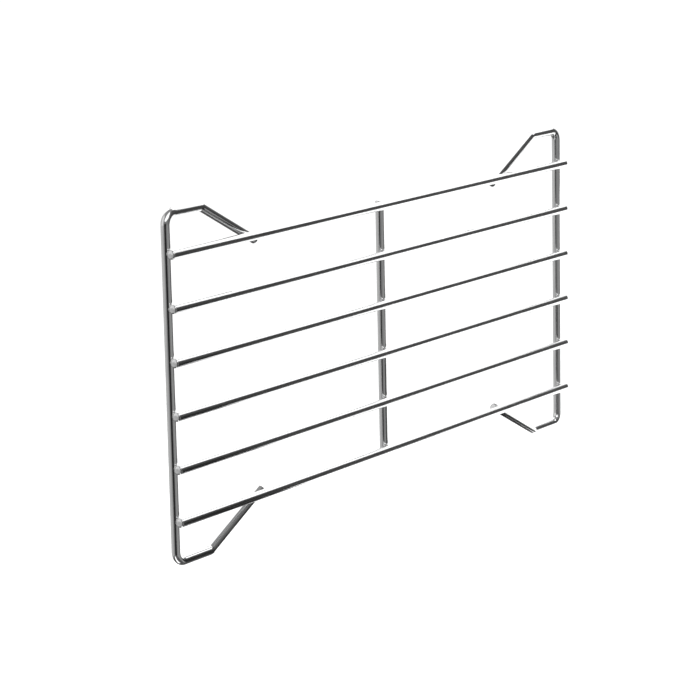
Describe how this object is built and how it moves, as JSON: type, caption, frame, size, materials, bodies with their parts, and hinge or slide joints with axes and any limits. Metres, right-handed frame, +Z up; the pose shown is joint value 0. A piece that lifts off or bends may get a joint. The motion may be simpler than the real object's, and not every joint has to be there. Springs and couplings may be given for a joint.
{
  "type": "drying rack panel",
  "caption": "Flat welded panel of polished round rod: level rails across a centre rod and bent end hoops, the leaf of a fold-down wall drying rack.",
  "frame": {"origin": "middle of the panel, half way along the rails, between their plane and the hoops' plane", "axes": "+X along the rails, +Y from the rails towards the wall, +Z up along the uprights"},
  "size_m": [0.628, 0.0156, 0.308],
  "materials": {
    "polished_rod": "polished, mirror bright with fine drawing lines along the rod",
    "weld_metal": "bright, slightly rippled"
  },
  "bodies": {
    "root": {"end_hoop_left": "polished_rod", "end_hoop_right": "polished_rod", "centre_rod": "polished_rod", "rail_1": "polished_rod", "rail_2": "polished_rod", "rail_3": "polished_rod", "rail_4": "polished_rod", "rail_5": "polished_rod", "rail_6": "polished_rod", "weld_left_1": "weld_metal", "weld_centre_1": "weld_metal", "weld_right_1": "weld_metal", "weld_left_2": "weld_metal", "weld_centre_2": "weld_metal", "weld_right_2": "weld_metal", "weld_left_3": "weld_metal", "weld_centre_3": "weld_metal", "weld_right_3": "weld_metal", "weld_left_4": "weld_metal", "weld_centre_4": "weld_metal", "weld_right_4": "weld_metal", "weld_left_5": "weld_metal", "weld_centre_5": "weld_metal", "weld_right_5": "weld_metal", "weld_left_6": "weld_metal", "weld_centre_6": "weld_metal", "weld_right_6": "weld_metal", "weld_arm_top_left": "weld_metal", "weld_arm_bottom_left": "weld_metal", "weld_arm_top_right": "weld_metal", "weld_arm_bottom_right": "weld_metal"}
  },
  "joints": []
}
